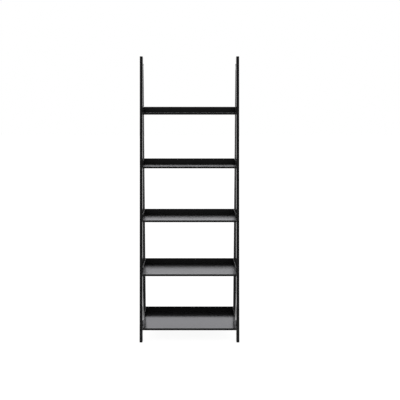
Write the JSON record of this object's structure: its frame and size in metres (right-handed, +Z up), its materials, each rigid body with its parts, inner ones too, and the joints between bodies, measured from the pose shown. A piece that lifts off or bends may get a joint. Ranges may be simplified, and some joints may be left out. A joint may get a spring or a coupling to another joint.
{
  "type": "ladder shelf",
  "caption": "Black steel ladder shelf with leaning front legs, upright rear legs and folded trays that get deeper towards the floor.",
  "frame": {"origin": "on the floor, in the middle of the shelf's width and depth", "axes": "+Z up, +X to the right seen from the front, front towards -Y"},
  "size_m": [0.632, 0.362, 1.7949],
  "materials": {
    "frame_paint": "satin black powder coat on steel tube",
    "tray_paint": "satin black powder coat on folded steel sheet",
    "black_plastic": "fine matte black moulded plastic",
    "black_screws": "black-coated steel, satin",
    "zinc_nuts": "bright zinc plate"
  },
  "bodies": {
    "root": {"left_front_leg": "frame_paint", "left_rear_leg": "frame_paint", "left_top_spacer": "frame_paint", "left_front_cap": "black_plastic", "left_rear_cap": "black_plastic", "left_front_foot": "black_plastic", "left_rear_foot": "black_plastic", "right_front_leg": "frame_paint", "right_rear_leg": "frame_paint", "right_top_spacer": "frame_paint", "right_front_cap": "black_plastic", "right_rear_cap": "black_plastic", "right_front_foot": "black_plastic", "right_rear_foot": "black_plastic", "top_tray": "tray_paint", "top_tray_screws": "black_screws", "top_tray_rivet_nuts": "zinc_nuts", "second_tray": "tray_paint", "second_tray_screws": "black_screws", "second_tray_rivet_nuts": "zinc_nuts", "middle_tray": "tray_paint", "middle_tray_screws": "black_screws", "middle_tray_rivet_nuts": "zinc_nuts", "fourth_tray": "tray_paint", "fourth_tray_screws": "black_screws", "fourth_tray_rivet_nuts": "zinc_nuts", "bottom_tray": "tray_paint", "bottom_tray_screws": "black_screws", "bottom_tray_rivet_nuts": "zinc_nuts"}
  },
  "joints": []
}
